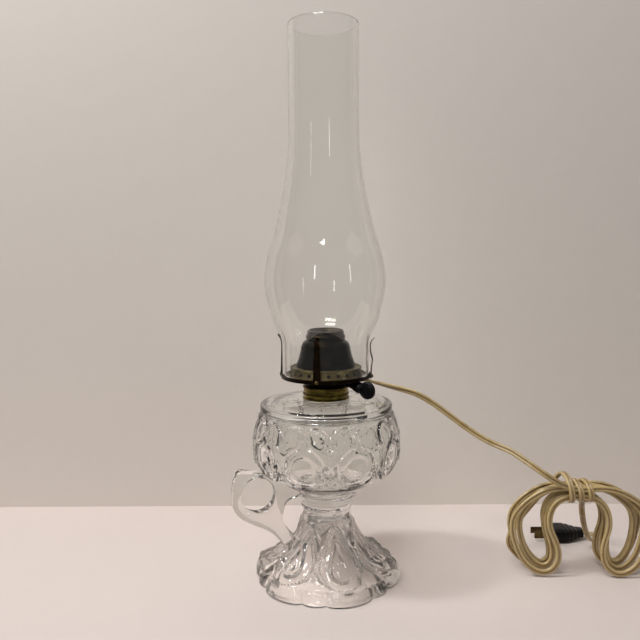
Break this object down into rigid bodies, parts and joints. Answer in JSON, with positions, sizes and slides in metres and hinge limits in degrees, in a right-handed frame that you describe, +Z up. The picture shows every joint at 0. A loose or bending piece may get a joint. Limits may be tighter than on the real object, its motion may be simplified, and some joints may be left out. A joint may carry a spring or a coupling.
{
  "type": "electrified oil lamp",
  "caption": "Pressed-glass finger lamp turned into an electric table lamp: glass chimney, dark burner with a turn-key socket, flat lead coming out of the burner, bound in a hank, with a plug.",
  "frame": {"origin": "middle of the glass lamp's bounding box, handle included, on the table", "axes": "+Z up; +X from the finger handle through the lamp to where the lead leaves; +Y to the back"},
  "size_m": [0.3622, 0.1691, 0.4767],
  "materials": {
    "pressed_glass": "clear, moulded, glossy",
    "thin_glass": "clear, blown, glossy",
    "old_brass": "aged, satin",
    "dark_brass": "dark patina, satin",
    "black_metal": "dark brown-black, satin",
    "black_plastic": "glossy",
    "brown_plastic": "matt, moulded",
    "fibre": "matt",
    "cement": "matt plaster",
    "steel": "satin",
    "nickel": "nickel plated",
    "cord_cover": "gold-tan, slightly translucent, satin"
  },
  "bodies": {
    "lamp": {"font": "pressed_glass", "pedestal": "pressed_glass", "finger_handle": "pressed_glass", "collar_cement": "cement", "font_collar": "old_brass", "burner_thimble": "black_metal", "gallery_ring": "dark_brass", "burner_deck": "old_brass", "prong_rivet_front": "old_brass", "prong_rivet_right": "old_brass", "prong_rivet_back": "old_brass", "prong_rivet_left": "old_brass", "socket_dome": "black_metal", "socket_base": "brown_plastic", "screw_shell": "old_brass", "socket_sleeve": "fibre", "centre_contact": "old_brass", "switch_body": "brown_plastic", "shaft_bushing": "dark_brass", "terminal_plate_neutral": "old_brass", "terminal_plate_hot": "old_brass", "terminal_screw_neutral": "nickel", "terminal_screw_hot": "nickel", "cord_grommet": "black_plastic", "lead_neutral": "fibre", "lead_hot": "cord_cover", "cord_hank": "cord_cover", "cord": "cord_cover", "plug_body": "black_plastic", "plug_disc": "fibre", "plug_blade_1": "old_brass", "plug_blade_2": "old_brass"},
    "chimney": {"chimney": "thin_glass", "chimney_fitter": "thin_glass"},
    "key": {"key_knob": "black_plastic", "switch_shaft": "steel", "switch_cam": "brown_plastic"},
    "prong_front": {"prong_front": "dark_brass"},
    "prong_right": {"prong_right": "dark_brass"},
    "prong_back": {"prong_back": "dark_brass"},
    "prong_left": {"prong_left": "dark_brass"}
  },
  "joints": [
    {"name": "chimney_lift", "type": "slide", "parent": "lamp", "child": "chimney", "axis": [0, 0, 1], "range_m": [0, 0.06]},
    {"name": "key_turn", "type": "hinge", "parent": "lamp", "child": "key", "pos_m": [0.0108, 0, 0.17961], "axis": [0.5087, -0.8466, -0.1564], "continuous": true},
    {"name": "prong_front_flex", "type": "hinge", "parent": "lamp", "child": "prong_front", "pos_m": [-0.00905, -0.03438, 0.1811], "axis": [0.866, -0.5, 0], "range_deg": [0, 3], "stiffness_Nm_per_rad": 0.4},
    {"name": "prong_right_flex", "type": "hinge", "parent": "lamp", "child": "prong_right", "pos_m": [0.04518, -0.01985, 0.1811], "axis": [0.5, 0.866, 0], "range_deg": [0, 3], "stiffness_Nm_per_rad": 0.4},
    {"name": "prong_back_flex", "type": "hinge", "parent": "lamp", "child": "prong_back", "pos_m": [0.03065, 0.03438, 0.1811], "axis": [-0.866, 0.5, 0], "range_deg": [0, 3], "stiffness_Nm_per_rad": 0.4},
    {"name": "prong_left_flex", "type": "hinge", "parent": "lamp", "child": "prong_left", "pos_m": [-0.02358, 0.01985, 0.1811], "axis": [-0.5, -0.866, 0], "range_deg": [0, 3], "stiffness_Nm_per_rad": 0.4}
  ]
}
